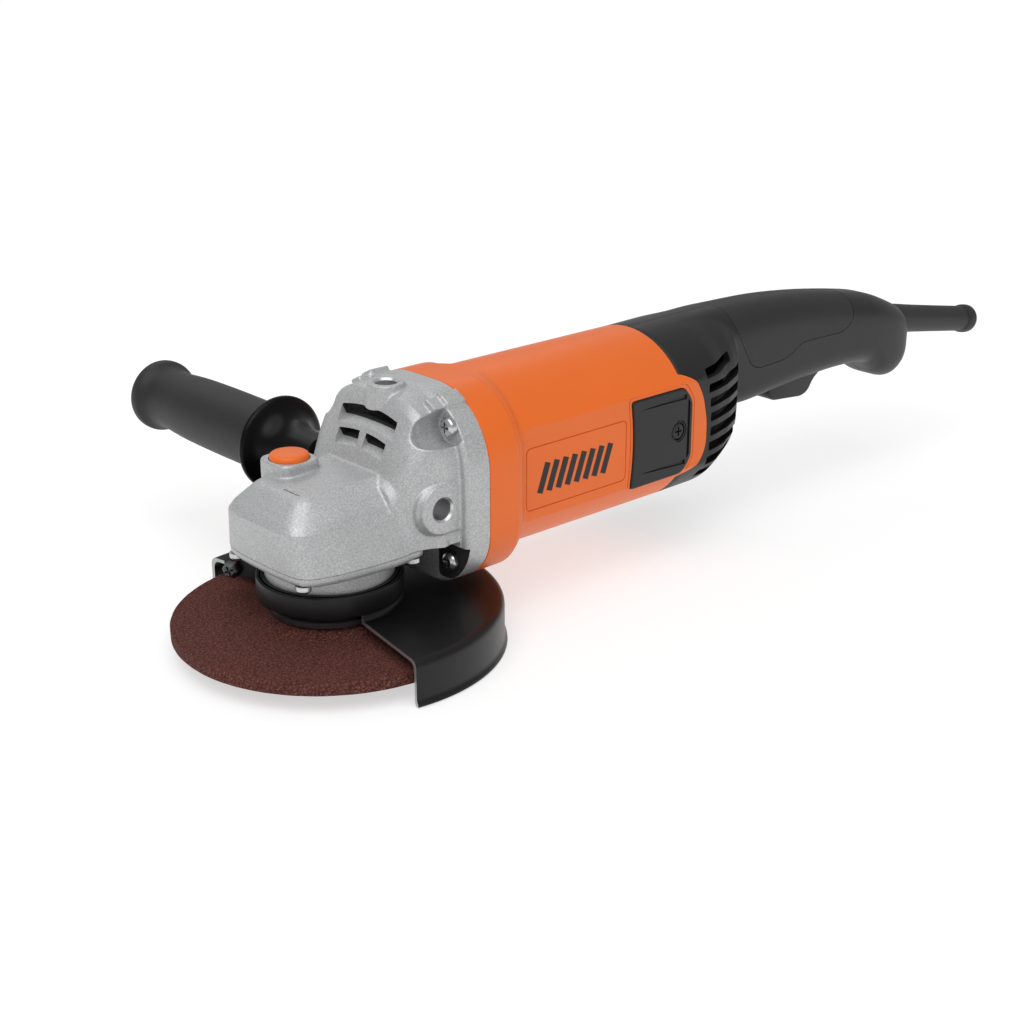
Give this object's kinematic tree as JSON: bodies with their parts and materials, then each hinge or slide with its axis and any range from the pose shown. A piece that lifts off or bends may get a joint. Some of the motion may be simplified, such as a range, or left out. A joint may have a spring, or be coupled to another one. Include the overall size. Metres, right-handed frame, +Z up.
{
  "type": "angle grinder",
  "caption": "Long-body angle grinder with a side handle, a turning guard over a grinding wheel, a spindle lock button and a rear grip with a trigger.",
  "frame": {"origin": "centre of the flat lower end of the spindle", "axes": "+X along the motor to the rear handle, +Y towards the side handle, +Z up along the spindle"},
  "size_m": [0.589, 0.2845, 0.1196],
  "materials": {
    "orange_plastic": "satin moulded plastic",
    "cast_aluminium": "silver-painted fine cast surface",
    "black_plastic": "satin moulded plastic",
    "soft_rubber": "matt soft rubber",
    "guard_paint": "satin black paint",
    "wheel_grit": "coarse resin-bonded grit",
    "bright_steel": "bright zinc or ground steel",
    "dark_steel": "blackened steel",
    "copper": "varnished copper",
    "brass": "plain brass",
    "carbon": "pressed carbon"
  },
  "bodies": {
    "machine": {"motor_housing": "orange_plastic", "gear_case": "cast_aluminium", "gear_case_cover": "cast_aluminium", "handle_shell_left": "black_plastic", "handle_shell_right": "black_plastic", "brush_cover_left": "black_plastic", "brush_cover_right": "black_plastic", "fan_baffle": "black_plastic", "switch_body": "black_plastic", "soft_grip": "soft_rubber", "side_handle_grip": "soft_rubber", "cord_guard": "soft_rubber", "dust_seal": "soft_rubber", "spindle_bearing": "bright_steel", "needle_bearing": "bright_steel", "lock_spring": "bright_steel", "front_bearing": "bright_steel", "rear_bearing": "bright_steel", "side_handle_stud": "bright_steel", "trigger_pin": "bright_steel", "trigger_spring": "bright_steel", "brush_spring_left": "bright_steel", "brush_spring_right": "bright_steel", "brush_cover_screw_left": "bright_steel", "brush_cover_screw_right": "bright_steel", "cover_screw_1": "bright_steel", "cover_screw_2": "bright_steel", "cover_screw_3": "bright_steel", "cover_screw_4": "bright_steel", "gear_case_screw_1": "bright_steel", "gear_case_screw_2": "bright_steel", "gear_case_screw_3": "bright_steel", "gear_case_screw_4": "bright_steel", "stator_core": "dark_steel", "handle_screw_front": "dark_steel", "handle_screw_rear": "dark_steel", "field_coil_upper": "copper", "field_coil_lower": "copper", "brush_holder_left": "brass", "brush_holder_right": "brass"},
    "spindle_set": {"spindle": "bright_steel", "crown_gear": "dark_steel", "inner_flange": "dark_steel", "grinding_wheel": "wheel_grit", "clamp_nut": "dark_steel"},
    "armature": {"armature_shaft": "bright_steel", "pinion_gear": "dark_steel", "armature_core": "dark_steel", "armature_winding_front": "copper", "armature_winding_rear": "copper", "commutator": "copper", "cooling_fan": "black_plastic"},
    "spindle_lock": {"lock_button": "orange_plastic", "lock_pin": "bright_steel"},
    "guard": {"wheel_guard": "guard_paint", "guard_clamp_band": "guard_paint", "guard_clamp_bolt": "dark_steel"},
    "trigger": {"trigger": "black_plastic"},
    "brush_left": {"carbon_brush_left": "carbon"},
    "brush_right": {"carbon_brush_right": "carbon"}
  },
  "joints": [
    {"name": "spindle_spin", "type": "hinge", "parent": "machine", "child": "spindle_set", "pos_m": [0, 0, 0], "axis": [0, 0, 1], "continuous": true},
    {"name": "armature_spin", "type": "hinge", "parent": "machine", "child": "armature", "pos_m": [0.12, 0, 0.0633], "axis": [1, 0, 0], "continuous": true},
    {"name": "lock_press", "type": "slide", "parent": "machine", "child": "spindle_lock", "axis": [0, 0, -1], "range_m": [0, 0.0042], "stiffness_N_per_m": 400, "springref_m": -0.003, "deforming": ["lock_spring"]},
    {"name": "guard_turn", "type": "hinge", "parent": "machine", "child": "guard", "pos_m": [0, 0, 0.02], "axis": [0, 0, 1], "range_deg": [-60, 90]},
    {"name": "trigger_squeeze", "type": "hinge", "parent": "machine", "child": "trigger", "pos_m": [0.308, 0, 0.0625], "axis": [0, -1, 0], "range_deg": [0, 7], "stiffness_Nm_per_rad": 1.5, "springref_deg": -5.73, "deforming": ["trigger_spring"]},
    {"name": "brush_slide_left", "type": "slide", "parent": "machine", "child": "brush_left", "axis": [0, -1, 0], "range_m": [0, 0.004], "stiffness_N_per_m": 300, "springref_m": -0.004, "deforming": ["brush_spring_left"]},
    {"name": "brush_slide_right", "type": "slide", "parent": "machine", "child": "brush_right", "axis": [0, 1, 0], "range_m": [0, 0.004], "stiffness_N_per_m": 300, "springref_m": -0.004, "deforming": ["brush_spring_right"]}
  ],
  "couplings": [
    {"joint": "armature_spin", "follows": "spindle_spin", "ratio": 3}
  ]
}
